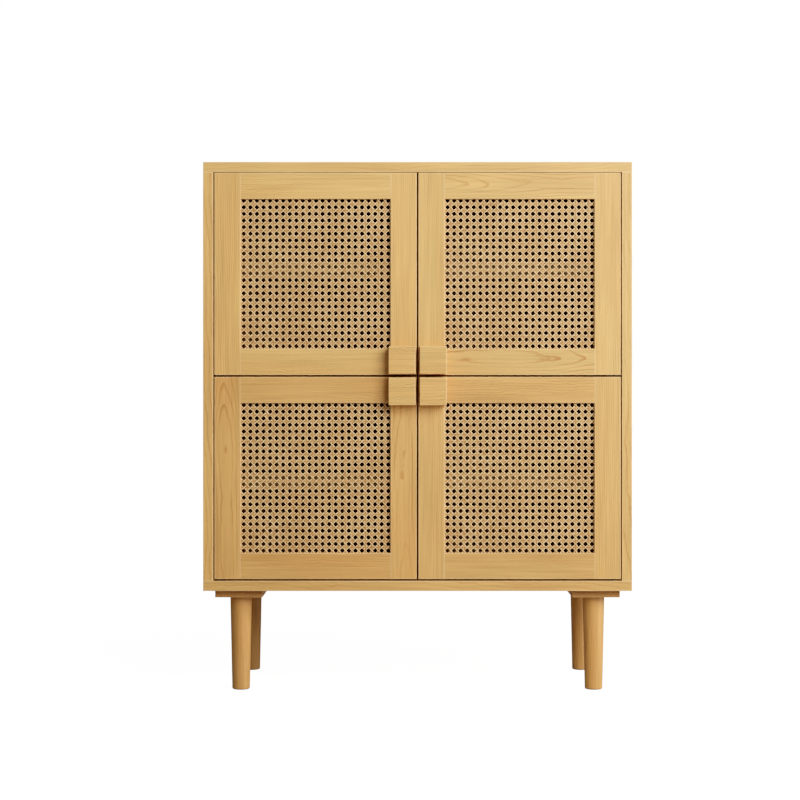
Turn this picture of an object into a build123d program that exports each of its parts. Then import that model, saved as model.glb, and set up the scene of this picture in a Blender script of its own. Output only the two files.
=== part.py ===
"""Shoe cabinet: a square wooden carcass on four turned legs, with four inset cane doors.

Millimetres, +X to the right, +Z up, doors facing -Y. The origin is on the floor, midway along
the width and midway along the overall depth, handles included.

Every door turns on a vertical pivot line inside its hinge stile. Its pins stand in the bottom
panel, in the top panel and in a steel plate that reaches into the gap between the doors.
"""

import os
from math import atan2, degrees

from build123d import *

# Overall size
WIDTH = 800
DEPTH = 380  # carcass only
HEIGHT = 990
BOARD = 19
HANDLE_DEPTH = 24

# Underframe
LEG_LENGTH = 176.5
LEG_TOP_RADIUS = 20.4
LEG_FOOT_RADIUS = 16.6
LEG_X = 333
LEG_SETBACK = 52
RAIL_X = 334.5
RAIL_WIDTH = 89
RAIL_THICK = 13.5
RAIL_SETBACK = 16
PAD_RADIUS = 12
PAD_THICK = 4
PAD_PROUD = 0.5

# Gaps round the doors
SIDE_GAP = 2.2
CENTRE_GAP = 3.3
MIDDLE_GAP = 3.4
TOP_GAP = 1.0
BOTTOM_GAP = 3.2

# Doors
DOOR_THICK = 18
FRAME_WIDTH = 48.8
FRONT_LIP = 5
REBATE_WIDTH = 8
TENON_LENGTH = 15
TENON_HEIGHT = 30
TENON_THICK = 8
TENON_INSET = 6
CANE_THICK = 2
BEAD_THICK = 8
MITRE_GAP = 0.1
CANE_PITCH_X = 12.26
CANE_PITCH_Z = 12.36
CANE_HOLES = 23
CANE_HOLE_RADIUS = 3.15
CANE_PLAY = 1.5  # all round, in the rebate
CANE_SHIFT_X = 0.6  # a sheet sits a little off its door's centre
CANE_SHIFT_Z = {"upper": 1.0, "lower": 0.0}
HANDLE_WIDTH = 50.4
HANDLE_HEIGHT = 51.5
HANDLE_INSET_X = 2.0
HANDLE_INSET_Z = 1.5

# Door pivots
PIVOT_IN = 16  # from the door's outer edge
PIVOT_BACK = 7  # behind the door's front face
PIN_RADIUS = 2.5
PIN_REACH = 10  # into a door
PIN_SEAT = 12  # into a panel
COLLAR_RADIUS = 4.5
BUSH_LENGTH = 12
BUSH_CLEARANCE = 0.05
AXIAL_CLEARANCE = 0.1
PLATE_THICK = 1.5
PLATE_WIDTH = 30
PLATE_LENGTH = 80
PLATE_NOSE = 4.5  # metal in front of the pin's centre

# Inside
INNER_SETBACK = 28  # front edges of shelves and dividers, clear of the swinging stiles
UPPER_SHELF_Z = 790.5
LOWER_SHELF_Z = 394
SHELF_CLEARANCE = 1
PEG_RADIUS = 2.5
PEG_SEAT = 8
PEG_PROUD = 9
PEG_HOLE_PITCH = 32
PEG_FRONT_INSET = 40
BACK_THICK = 6
BACK_RECESS = 1
BACK_REBATE = 9
BACK_PLAY = 0.5

# Fasteners
DOWEL_RADIUS = 4
DOWEL_FACE = 11  # depth in a board's face
DOWEL_END = 19  # depth in a board's end
DOWEL_LENGTH = DOWEL_FACE + DOWEL_END
CAM_RADIUS = 7.5
CAM_DEPTH = 13
CAM_FROM_END = 34
CAM_BOLT_RADIUS = 3.2
CAM_BOLT_START = CAM_RADIUS + 0.3  # from the disc's centre
CAM_HOLE_LENGTH = CAM_FROM_END + DOWEL_FACE
LEG_BOLT_RADIUS = 4
LEG_BOLT_DEPTH = 35
NUT_BARREL = 5.5
NUT_FLANGE = 10
NUT_HEIGHT = 11
NUT_FLANGE_THICK = 1.4
RAIL_SCREW = (2.2, 4.4, 30)  # shank radius, head radius, length
BACK_SCREW = (1.6, 3.2, 20)
PLATE_SCREW = (1.7, 3.2, 16)
CATCH_SCREW = (1.4, 2.6, 20)
HANDLE_SCREW = (2.0, 3.8, 32)
STRIKE_SCREW = (1.2, 2.2, 10)

# Magnetic catches
CATCH_SIZE = (40, 15, 12)
CATCH_X = 33
NOSE_SIZE = (18, 1, 8)
STRIKE_SIZE = (30, 1, 8)
STRIKE_SCREW_X = 10
STRIKE_HOLE = (1.25, 2.25, 10)
CATCH_GAP = 0.3

# Eased edges
EDGE = 0.8
JOINT_EDGE = 0.3
OPENING_EDGE = 0.7
HANDLE_EDGE = 1.5

# Derived places
FRONT = HANDLE_DEPTH / 2 - DEPTH / 2
BACK = FRONT + DEPTH
MID_Y = (FRONT + BACK) / 2
CARCASS_Z = LEG_LENGTH + RAIL_THICK
FLOOR_Z = CARCASS_Z + BOARD
CEILING_Z = HEIGHT - BOARD
INNER_X = WIDTH / 2 - BOARD
DOOR_WIDTH = (2 * INNER_X - 2 * SIDE_GAP - CENTRE_GAP) / 2
DOOR_HEIGHT = (CEILING_Z - FLOOR_Z - TOP_GAP - MIDDLE_GAP - BOTTOM_GAP) / 2
OPENING_WIDTH = DOOR_WIDTH - 2 * FRAME_WIDTH
OPENING_HEIGHT = DOOR_HEIGHT - 2 * FRAME_WIDTH
LOWER_DOOR_Z = FLOOR_Z + BOTTOM_GAP
UPPER_DOOR_Z = LOWER_DOOR_Z + DOOR_HEIGHT + MIDDLE_GAP
GAP_Z = UPPER_DOOR_Z - MIDDLE_GAP / 2
MID_TOP = GAP_Z - PLATE_THICK / 2
MID_BOTTOM = MID_TOP - BOARD
PIVOT_X = INNER_X - SIDE_GAP - PIVOT_IN
PIVOT_Y = FRONT + PIVOT_BACK
DOOR_BACK = FRONT + DOOR_THICK
INNER_FRONT = FRONT + INNER_SETBACK
INNER_BACK = BACK - BACK_RECESS - BACK_THICK
BACK_SHOULDER = BACK_THICK + BACK_RECESS
SIDES = (-1, 1)
UP = (0, 0, 1)
DOWN = (0, 0, -1)
REARWARD = (0, 1, 0)
FORWARD = (0, -1, 0)
LEG_Y = (FRONT + LEG_SETBACK, BACK - LEG_SETBACK)
DOWEL_Y = (MID_Y - 140, MID_Y, MID_Y + 140)
CAM_Y = (MID_Y - 105, MID_Y + 105)
DIVIDER_DOWEL_Y = {"upper": (MID_Y - 110, MID_Y + 120), "lower": (MID_Y - 80, MID_Y + 90)}
PEG_Y = (INNER_FRONT + PEG_FRONT_INSET, INNER_BACK - PEG_FRONT_INSET)
PEG_Z = {"upper": UPPER_SHELF_Z - BOARD / 2 - PEG_RADIUS, "lower": LOWER_SHELF_Z - BOARD / 2 - PEG_RADIUS}
DIVIDER_SPAN = {"upper": (MID_TOP, CEILING_Z), "lower": (FLOOR_Z, MID_BOTTOM)}
SHELF_Z = {"upper": UPPER_SHELF_Z, "lower": LOWER_SHELF_Z}
LEVELS = ("upper", "lower")
SIDE_NAMES = {-1: "left", 1: "right"}

os.makedirs("parts", exist_ok=True)


def keep(piece, name):
    """Label a finished piece and write its file."""
    piece.label = name
    export_step(piece, f"parts/{name}.step")


def aimed(points, direction):
    """Planes at the points, with their normals along the direction."""
    return [Plane(origin=point, z_dir=direction) for point in points]


def rods(points, direction, radius, length, mode=Mode.ADD):
    """Round bars or holes that start at the points and run along the direction."""
    with Locations(*aimed(points, direction)):
        Cylinder(radius, length, align=(Align.CENTER, Align.CENTER, Align.MIN), mode=mode)


def screws(points, direction, size, mode=Mode.ADD):
    """Countersunk screws, or the holes they fill, with their heads at the points."""
    shank, head, length = size
    rods(points, direction, shank, length, mode)
    with Locations(*aimed(points, direction)):
        Cone(head, shank, head - shank + 0.4, align=(Align.CENTER, Align.CENTER, Align.MIN), mode=mode)


def block(centre, size, mode=Mode.ADD):
    """A plain box about its centre."""
    with Locations(centre):
        Box(*size, mode=mode)


# Where the fasteners stand
def end_dowels(side, level_z, direction_z):
    """Starts of the dowels between a side panel and the top or bottom panel."""
    return [(side * (WIDTH / 2 - BOARD / 2), y, level_z - direction_z * DOWEL_END) for y in DOWEL_Y]


def shelf_dowels(side):
    """Starts of the dowels between a side panel and the middle shelf."""
    return [(side * (INNER_X - DOWEL_END), y, (MID_TOP + MID_BOTTOM) / 2) for y in DOWEL_Y]


def divider_dowels(level, upper_end):
    """Starts of the dowels at one end of a divider."""
    low, high = DIVIDER_SPAN[level]
    z = high - DOWEL_END if upper_end else low - DOWEL_FACE
    return [(0, y, z) for y in DIVIDER_DOWEL_Y[level]]


def cam_points(side, upper_end):
    """Centres of the cam discs on a side panel's inner face."""
    z = CEILING_Z - CAM_FROM_END if upper_end else FLOOR_Z + CAM_FROM_END
    return [(side * INNER_X, y, z) for y in CAM_Y]


def cam_bolt_points(side, upper_end, from_disc):
    """Starts of the cam bolts or their holes, at a distance from the cam discs' centres."""
    z = CEILING_Z - CAM_FROM_END + from_disc if upper_end else FLOOR_Z + CAM_FROM_END - from_disc
    return [(side * (INNER_X + CAM_DEPTH / 2), y, z) for y in CAM_Y]


def peg_points(x, level, offsets=(0,)):
    """Shelf peg places on the face at x, with the spare holes when offsets are given."""
    return [(x, y, PEG_Z[level] + k * PEG_HOLE_PITCH) for y in PEG_Y for k in offsets]


PEG_OFFSETS = (-2, -1, 0, 1, 2)
BACK_SCREW_Z = [FLOOR_Z + (CEILING_Z - FLOOR_Z) * share for share in (0.08, 0.36, 0.64, 0.92)]
BACK_SCREW_X = [2 * INNER_X * share for share in (-0.3, 0, 0.3)]


def side_back_screws(side):
    """Back panel screws that enter a side panel."""
    return [(side * (INNER_X + BACK_REBATE / 2), BACK - BACK_RECESS, z) for z in BACK_SCREW_Z]


def end_back_screws(z):
    """Back panel screws that enter the top or bottom panel."""
    return [(x, BACK - BACK_RECESS, z) for x in BACK_SCREW_X]


def rail_screws(side):
    """Screws that hold a leg rail to the bottom panel."""
    return [(side * LEG_X + dx, MID_Y + dy, LEG_LENGTH) for dx in (-28, 28) for dy in (-85, 85)]


def plate_screws(side):
    """Screws that hold a pivot plate to the middle shelf."""
    return [(side * PIVOT_X, INNER_FRONT + dy, GAP_Z + PLATE_THICK / 2) for dy in (12, 34)]


def catch_screws(side, level):
    """Screws that hold a magnetic catch on or under the middle shelf."""
    z = MID_TOP + CATCH_SIZE[2] if level == "upper" else MID_BOTTOM - CATCH_SIZE[2]
    return [(side * CATCH_X + dx, INNER_FRONT + 4, z) for dx in (-15, 15)]


# Carcass
def end_panel(base_z, at_top):
    """The top or the bottom panel."""
    inner_z = CEILING_Z if at_top else FLOOR_Z
    inward = -1 if at_top else 1
    outward = UP if at_top else DOWN
    with BuildPart() as panel:
        with BuildSketch(Plane.XY.offset(base_z)):
            with Locations((0, MID_Y)):
                Rectangle(WIDTH, DEPTH)
        extrude(amount=BOARD)
        uprights = panel.edges().filter_by(Axis.Z)
        top_edges = panel.edges().group_by(Axis.Z)[-1]
        bottom_edges = panel.edges().group_by(Axis.Z)[0]
        fillet(uprights + (top_edges if at_top else bottom_edges), EDGE)
        rim = panel.faces().sort_by(Axis.Z)[0 if at_top else -1].edges()
        chamfer(rim, JOINT_EDGE)
        rebate_centre = (0, BACK - BACK_SHOULDER / 2, inner_z - inward * BACK_REBATE / 2)
        rebate = (2 * (INNER_X + BACK_REBATE), BACK_SHOULDER, BACK_REBATE)
        block(rebate_centre, rebate, Mode.SUBTRACT)
        for side in SIDES:
            rods(end_dowels(side, inner_z, -inward), outward, DOWEL_RADIUS, DOWEL_LENGTH, Mode.SUBTRACT)
            rods(cam_bolt_points(side, at_top, 0), outward, CAM_BOLT_RADIUS, CAM_HOLE_LENGTH, Mode.SUBTRACT)
            pin_top = (side * PIVOT_X, PIVOT_Y, inner_z)
            rods([pin_top], outward, PIN_RADIUS, PIN_SEAT, Mode.SUBTRACT)
            if not at_top:
                screws(rail_screws(side), UP, RAIL_SCREW, Mode.SUBTRACT)
        level = "upper" if at_top else "lower"
        rods(divider_dowels(level, at_top), UP, DOWEL_RADIUS, DOWEL_LENGTH, Mode.SUBTRACT)
        screws(end_back_screws(inner_z - inward * BACK_REBATE / 2), FORWARD, BACK_SCREW, Mode.SUBTRACT)
    return panel.part


keep(end_panel(CEILING_Z, True), "top_panel")
keep(end_panel(CARCASS_Z, False), "bottom_panel")


def side_panel(side):
    """A side panel, which stands between the top and bottom panels."""
    with BuildPart() as panel:
        with BuildSketch(Plane.XY.offset(FLOOR_Z)):
            with Locations((side * (WIDTH / 2 - BOARD / 2), MID_Y)):
                Rectangle(BOARD, DEPTH)
        extrude(amount=CEILING_Z - FLOOR_Z)
        fillet(panel.edges().filter_by(Axis.Z), EDGE)
        chamfer(panel.edges().group_by(Axis.Z)[0] + panel.edges().group_by(Axis.Z)[-1], JOINT_EDGE)
        rebate_x = side * (INNER_X + BACK_REBATE / 2)
        rebate_y = BACK - BACK_SHOULDER / 2
        rebate = (BACK_REBATE, BACK_SHOULDER, CEILING_Z - FLOOR_Z)
        block((rebate_x, rebate_y, (CEILING_Z + FLOOR_Z) / 2), rebate, Mode.SUBTRACT)
        rods(end_dowels(side, CEILING_Z, 1), UP, DOWEL_RADIUS, DOWEL_LENGTH, Mode.SUBTRACT)
        rods(end_dowels(side, FLOOR_Z, -1), DOWN, DOWEL_RADIUS, DOWEL_LENGTH, Mode.SUBTRACT)
        rods(shelf_dowels(side), (side, 0, 0), DOWEL_RADIUS, DOWEL_LENGTH, Mode.SUBTRACT)
        for upper_end, direction in ((True, UP), (False, DOWN)):
            rods(cam_points(side, upper_end), (side, 0, 0), CAM_RADIUS, CAM_DEPTH, Mode.SUBTRACT)
            bolts = cam_bolt_points(side, upper_end, 0)
            rods(bolts, direction, CAM_BOLT_RADIUS, CAM_HOLE_LENGTH, Mode.SUBTRACT)
        for level in LEVELS:
            holes = peg_points(side * INNER_X, level, PEG_OFFSETS)
            rods(holes, (side, 0, 0), PEG_RADIUS, PEG_SEAT, Mode.SUBTRACT)
        screws(side_back_screws(side), FORWARD, BACK_SCREW, Mode.SUBTRACT)
    return panel.part


for side in SIDES:
    keep(side_panel(side), f"side_panel_{SIDE_NAMES[side]}")

with BuildPart() as back_panel:
    with BuildSketch(Plane.XZ.offset(BACK_RECESS - BACK)):
        with Locations((0, (CEILING_Z + FLOOR_Z) / 2)):
            reach = 2 * (BACK_REBATE - BACK_PLAY)
            RectangleRounded(2 * INNER_X + reach, CEILING_Z - FLOOR_Z + reach, 1)
    extrude(amount=BACK_THICK)
    for side in SIDES:
        screws(side_back_screws(side), FORWARD, BACK_SCREW, Mode.SUBTRACT)
    for z in (CEILING_Z + BACK_REBATE / 2, FLOOR_Z - BACK_REBATE / 2):
        screws(end_back_screws(z), FORWARD, BACK_SCREW, Mode.SUBTRACT)
keep(back_panel.part, "back_panel")

with BuildPart() as mid_shelf:
    with BuildSketch(Plane.XY.offset(MID_BOTTOM)):
        with Locations((0, (INNER_FRONT + INNER_BACK) / 2)):
            Rectangle(2 * INNER_X, INNER_BACK - INNER_FRONT)
    extrude(amount=BOARD)
    front_edges = mid_shelf.faces().sort_by(Axis.Y)[0].edges().filter_by(Axis.X)
    fillet(front_edges, EDGE)
    for side in SIDES:
        rods(shelf_dowels(side), (side, 0, 0), DOWEL_RADIUS, DOWEL_LENGTH, Mode.SUBTRACT)
        screws(plate_screws(side), DOWN, PLATE_SCREW, Mode.SUBTRACT)
        screws(catch_screws(side, "upper"), DOWN, CATCH_SCREW, Mode.SUBTRACT)
        screws(catch_screws(side, "lower"), UP, CATCH_SCREW, Mode.SUBTRACT)
    rods(divider_dowels("upper", False), UP, DOWEL_RADIUS, DOWEL_LENGTH, Mode.SUBTRACT)
    rods(divider_dowels("lower", True), UP, DOWEL_RADIUS, DOWEL_LENGTH, Mode.SUBTRACT)
keep(mid_shelf.part, "mid_shelf")


def divider(level):
    """The upright board between the left and right compartments of one storey."""
    low, high = DIVIDER_SPAN[level]
    with BuildPart() as upright:
        with BuildSketch(Plane.XY.offset(low)):
            with Locations((0, (INNER_FRONT + INNER_BACK) / 2)):
                Rectangle(BOARD, INNER_BACK - INNER_FRONT)
        extrude(amount=high - low)
        fillet(upright.faces().sort_by(Axis.Y)[0].edges().filter_by(Axis.Z), EDGE)
        for upper_end in (True, False):
            rods(divider_dowels(level, upper_end), UP, DOWEL_RADIUS, DOWEL_LENGTH, Mode.SUBTRACT)
        for side in SIDES:
            holes = peg_points(side * BOARD / 2, level, PEG_OFFSETS)
            rods(holes, (-side, 0, 0), PEG_RADIUS, PEG_SEAT, Mode.SUBTRACT)
    return upright.part


def loose_shelf(level, side):
    """A shelf that rests on four pegs and lifts out."""
    span = INNER_X - BOARD / 2
    depth = INNER_BACK - SHELF_CLEARANCE - INNER_FRONT
    with BuildPart() as shelf:
        with BuildSketch(Plane.XY.offset(SHELF_Z[level] - BOARD / 2)):
            with Locations((side * (BOARD / 2 + span / 2), INNER_FRONT + depth / 2)):
                Rectangle(span - 2 * SHELF_CLEARANCE, depth)
        extrude(amount=BOARD)
        fillet(shelf.edges(), EDGE)
    return shelf.part


for level in LEVELS:
    keep(divider(level), f"divider_{level}")
    for side in SIDES:
        keep(loose_shelf(level, side), f"shelf_{level}_{SIDE_NAMES[side]}")

with BuildPart() as shelf_pegs:
    for level in LEVELS:
        for side in SIDES:
            near_side = peg_points(side * (INNER_X + PEG_SEAT), level)
            near_divider = peg_points(side * (BOARD / 2 - PEG_SEAT), level)
            rods(near_side, (-side, 0, 0), PEG_RADIUS, PEG_SEAT + PEG_PROUD)
            rods(near_divider, (side, 0, 0), PEG_RADIUS, PEG_SEAT + PEG_PROUD)
keep(shelf_pegs.part, "shelf_pegs")


# Underframe
def leg_rail(side):
    """The flat board under the carcass that carries a front and a rear leg."""
    with BuildPart() as rail:
        with BuildSketch(Plane.XY.offset(LEG_LENGTH)):
            with Locations((side * RAIL_X, MID_Y)):
                Rectangle(RAIL_WIDTH, DEPTH - 2 * RAIL_SETBACK)
        extrude(amount=RAIL_THICK)
        fillet(rail.edges().filter_by(Axis.Z) + rail.edges().group_by(Axis.Z)[0], EDGE)
        screws(rail_screws(side), UP, RAIL_SCREW, Mode.SUBTRACT)
        for y in LEG_Y:
            top = [(side * LEG_X, y, CARCASS_Z)]
            rods(top, DOWN, LEG_BOLT_RADIUS, RAIL_THICK, Mode.SUBTRACT)
            rods(top, DOWN, NUT_BARREL, NUT_HEIGHT, Mode.SUBTRACT)
            rods(top, DOWN, NUT_FLANGE, NUT_FLANGE_THICK, Mode.SUBTRACT)
    return rail.part


def leg(side, y):
    """A turned leg that tapers towards the floor."""
    with BuildPart() as turned:
        with Locations((side * LEG_X, y, PAD_PROUD)):
            Cone(
                LEG_FOOT_RADIUS,
                LEG_TOP_RADIUS,
                LEG_LENGTH - PAD_PROUD,
                align=(Align.CENTER, Align.CENTER, Align.MIN),
            )
        fillet(turned.edges().filter_by(GeomType.CIRCLE).sort_by(Axis.Z)[0], 3)
        fillet(turned.edges().filter_by(GeomType.CIRCLE).sort_by(Axis.Z)[-1], JOINT_EDGE)
        rods([(side * LEG_X, y, LEG_LENGTH)], DOWN, LEG_BOLT_RADIUS, LEG_BOLT_DEPTH, Mode.SUBTRACT)
        rods([(side * LEG_X, y, 0)], UP, PAD_RADIUS, PAD_THICK, Mode.SUBTRACT)
    return turned.part


for side in SIDES:
    keep(leg_rail(side), f"leg_rail_{SIDE_NAMES[side]}")
    for place, y in zip(("front", "rear"), LEG_Y):
        keep(leg(side, y), f"leg_{place}_{SIDE_NAMES[side]}")

LEG_PLACES = [(side * LEG_X, y) for side in SIDES for y in LEG_Y]

with BuildPart() as foot_pads:
    with BuildSketch(Plane.XY):
        with Locations(*LEG_PLACES):
            Circle(PAD_RADIUS)
    extrude(amount=PAD_THICK)
    chamfer(foot_pads.edges().group_by(Axis.Z)[0], 0.4)
keep(foot_pads.part, "foot_pads")

with BuildPart() as leg_bolts:
    with BuildSketch(Plane.XY.offset(LEG_LENGTH - LEG_BOLT_DEPTH)):
        with Locations(*LEG_PLACES):
            Circle(LEG_BOLT_RADIUS)
    extrude(amount=LEG_BOLT_DEPTH + RAIL_THICK)
keep(leg_bolts.part, "leg_bolts")

with BuildPart() as leg_nuts:
    with BuildSketch(Plane.XY.offset(CARCASS_Z - NUT_HEIGHT)):
        with Locations(*LEG_PLACES):
            Circle(NUT_BARREL)
            Circle(LEG_BOLT_RADIUS, mode=Mode.SUBTRACT)
    extrude(amount=NUT_HEIGHT)
    with BuildSketch(Plane.XY.offset(CARCASS_Z - NUT_FLANGE_THICK)):
        with Locations(*LEG_PLACES):
            Circle(NUT_FLANGE)
            Circle(LEG_BOLT_RADIUS, mode=Mode.SUBTRACT)
    extrude(amount=NUT_FLANGE_THICK)
keep(leg_nuts.part, "leg_nuts")

# Carcass fasteners
with BuildPart() as carcass_dowels:
    for side in SIDES:
        rods(end_dowels(side, CEILING_Z, 1), UP, DOWEL_RADIUS, DOWEL_LENGTH)
        rods(end_dowels(side, FLOOR_Z, -1), DOWN, DOWEL_RADIUS, DOWEL_LENGTH)
        rods(shelf_dowels(side), (side, 0, 0), DOWEL_RADIUS, DOWEL_LENGTH)
    for level in LEVELS:
        for upper_end in (True, False):
            rods(divider_dowels(level, upper_end), UP, DOWEL_RADIUS, DOWEL_LENGTH)
keep(carcass_dowels.part, "carcass_dowels")

with BuildPart() as cam_locks:
    for side in SIDES:
        for upper_end, direction in ((True, UP), (False, DOWN)):
            rods(cam_points(side, upper_end), (side, 0, 0), CAM_RADIUS, CAM_DEPTH)
            bolts = cam_bolt_points(side, upper_end, CAM_BOLT_START)
            rods(bolts, direction, CAM_BOLT_RADIUS, CAM_HOLE_LENGTH - CAM_BOLT_START)
            for point in cam_points(side, upper_end):
                block(point, (3, 1.6, 9), Mode.SUBTRACT)
                block(point, (3, 9, 1.6), Mode.SUBTRACT)
keep(cam_locks.part, "cam_locks")

with BuildPart() as wood_screws:
    for side in SIDES:
        screws(rail_screws(side), UP, RAIL_SCREW)
        screws(plate_screws(side), DOWN, PLATE_SCREW)
        screws(catch_screws(side, "upper"), DOWN, CATCH_SCREW)
        screws(catch_screws(side, "lower"), UP, CATCH_SCREW)
        screws(side_back_screws(side), FORWARD, BACK_SCREW)
    for z in (CEILING_Z + BACK_REBATE / 2, FLOOR_Z - BACK_REBATE / 2):
        screws(end_back_screws(z), FORWARD, BACK_SCREW)
keep(wood_screws.part, "wood_screws")

# Pivots between the carcass and the doors
with BuildPart() as pivot_plates:
    for side in SIDES:
        centre_x = side * (INNER_X - 0.5 - PLATE_WIDTH / 2)
        with BuildSketch(Plane.XY.offset(MID_TOP)):
            with Locations((centre_x, PIVOT_Y - PLATE_NOSE + PLATE_LENGTH / 2)):
                RectangleRounded(PLATE_WIDTH, PLATE_LENGTH, 3)
            with Locations((side * PIVOT_X, PIVOT_Y)):
                Circle(PIN_RADIUS, mode=Mode.SUBTRACT)
        extrude(amount=PLATE_THICK)
        screws(plate_screws(side), DOWN, PLATE_SCREW, Mode.SUBTRACT)
keep(pivot_plates.part, "pivot_plates")

with BuildPart() as pivot_pins:
    for side in SIDES:
        bottom = (side * PIVOT_X, PIVOT_Y, FLOOR_Z - PIN_SEAT)
        rods([bottom], UP, PIN_RADIUS, PIN_SEAT + BOTTOM_GAP + PIN_REACH)
        collar = (side * PIVOT_X, PIVOT_Y, FLOOR_Z)
        rods([collar], UP, COLLAR_RADIUS, BOTTOM_GAP - AXIAL_CLEARANCE)
        middle = (side * PIVOT_X, PIVOT_Y, LOWER_DOOR_Z + DOOR_HEIGHT - PIN_REACH)
        rods([middle], UP, PIN_RADIUS, 2 * PIN_REACH + MIDDLE_GAP)
        collar = (side * PIVOT_X, PIVOT_Y, GAP_Z + PLATE_THICK / 2)
        rods([collar], UP, COLLAR_RADIUS, (MIDDLE_GAP - PLATE_THICK) / 2 - AXIAL_CLEARANCE)
        top = (side * PIVOT_X, PIVOT_Y, CEILING_Z + PIN_SEAT)
        rods([top], DOWN, PIN_RADIUS, PIN_SEAT + TOP_GAP + PIN_REACH)
keep(pivot_pins.part, "pivot_pins")

with BuildPart() as magnetic_catches:
    for side in SIDES:
        for level in LEVELS:
            base = MID_TOP + CATCH_SIZE[2] / 2 if level == "upper" else MID_BOTTOM - CATCH_SIZE[2] / 2
            nose_y = DOOR_BACK + STRIKE_SIZE[1] + CATCH_GAP + NOSE_SIZE[1] / 2
            body_y = nose_y + (NOSE_SIZE[1] + CATCH_SIZE[1]) / 2
            block((side * CATCH_X, body_y, base), CATCH_SIZE)
            block((side * CATCH_X, nose_y, base), NOSE_SIZE)
            direction = DOWN if level == "upper" else UP
            screws(catch_screws(side, level), direction, CATCH_SCREW, Mode.SUBTRACT)
keep(magnetic_catches.part, "magnetic_catches")


# Doors
class Door:
    """Places on one door, at rest. Side is -1 at the left and 1 at the right."""

    def __init__(self, level, side):
        self.name = f"{level}_{SIDE_NAMES[side]}"
        self.level = level
        self.side = side
        self.upper = level == "upper"
        self.low = UPPER_DOOR_Z if self.upper else LOWER_DOOR_Z
        self.high = self.low + DOOR_HEIGHT
        self.mid_z = (self.low + self.high) / 2
        self.outer_x = side * (INNER_X - SIDE_GAP)
        self.inner_x = side * CENTRE_GAP / 2
        self.mid_x = (self.outer_x + self.inner_x) / 2
        self.outer_stile_x = self.outer_x - side * FRAME_WIDTH / 2
        self.inner_stile_x = self.inner_x + side * FRAME_WIDTH / 2
        self.handle_x = self.inner_x + side * (HANDLE_INSET_X + HANDLE_WIDTH / 2)
        handle_reach = HANDLE_INSET_Z + HANDLE_HEIGHT / 2
        self.handle_z = self.low + handle_reach if self.upper else self.high - handle_reach

    def bush_points(self):
        """Mouths of the two bush holes, with the way into the wood."""
        x = self.side * PIVOT_X
        return ((x, PIVOT_Y, self.low), UP), ((x, PIVOT_Y, self.high), DOWN)

    def handle_screws(self):
        """Handle screw heads, on the back of the latch stile."""
        return [(self.handle_x, DOOR_BACK, self.handle_z + dz) for dz in (-13, 13)]

    def strike_z(self):
        """Height of the strike plate's centre."""
        return MID_TOP + CATCH_SIZE[2] / 2 if self.upper else MID_BOTTOM - CATCH_SIZE[2] / 2

    def strike_screws(self):
        """Strike plate screw heads."""
        back = DOOR_BACK + STRIKE_SIZE[1]
        offsets = (-STRIKE_SCREW_X, STRIKE_SCREW_X)
        return [(self.side * CATCH_X + dx, back, self.strike_z()) for dx in offsets]

    def tenon_z(self, at_top):
        """Middle height of a rail's tenons."""
        inset = TENON_INSET + TENON_HEIGHT / 2
        return self.high - inset if at_top else self.low + inset


TENON_Y = FRONT + DOOR_THICK / 2
REBATE_DEPTH = DOOR_THICK - FRONT_LIP
REBATE_Y = FRONT + FRONT_LIP + REBATE_DEPTH / 2


def stile(door, hinged):
    """A full-height upright of a door frame, mortised for both rails and rebated for the cane."""
    centre_x = door.outer_stile_x if hinged else door.inner_stile_x
    into_opening = -door.side if hinged else door.side
    edge_x = centre_x + into_opening * FRAME_WIDTH / 2
    with BuildPart() as upright:
        with BuildSketch(Plane.XZ.offset(-FRONT)):
            with Locations((centre_x, door.mid_z)):
                Rectangle(FRAME_WIDTH, DOOR_HEIGHT)
        extrude(amount=-DOOR_THICK)
        long_edges = upright.edges().filter_by(Axis.Z)
        outer_edges = long_edges.sort_by(Axis.X)[2:] if into_opening < 0 else long_edges.sort_by(Axis.X)[:2]
        end_edges = upright.edges().filter_by(Axis.X)
        fillet(outer_edges + end_edges, EDGE)
        rebate_x = edge_x - into_opening * REBATE_WIDTH / 2
        rebate = (REBATE_WIDTH, REBATE_DEPTH, OPENING_HEIGHT + 2 * REBATE_WIDTH)
        block((rebate_x, REBATE_Y, door.mid_z), rebate, Mode.SUBTRACT)
        with BuildSketch(Plane.XY.offset(door.mid_z - OPENING_HEIGHT / 2)):
            with BuildLine():
                corner = (edge_x, FRONT)
                along = (edge_x - into_opening * OPENING_EDGE, FRONT)
                behind = (edge_x, FRONT + OPENING_EDGE)
                Polyline(corner, along, behind, close=True)
            make_face()
        extrude(amount=OPENING_HEIGHT, mode=Mode.SUBTRACT)
        for at_top in (True, False):
            mortise_x = edge_x - into_opening * TENON_LENGTH / 2
            mortise = (TENON_LENGTH, TENON_THICK, TENON_HEIGHT)
            block((mortise_x, TENON_Y, door.tenon_z(at_top)), mortise, Mode.SUBTRACT)
        if hinged:
            for mouth, inward in door.bush_points():
                rods([mouth], inward, COLLAR_RADIUS, BUSH_LENGTH, Mode.SUBTRACT)
        else:
            screws(door.handle_screws(), FORWARD, HANDLE_SCREW, Mode.SUBTRACT)
            screws(door.strike_screws(), FORWARD, STRIKE_SCREW, Mode.SUBTRACT)
    return upright.part


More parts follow.
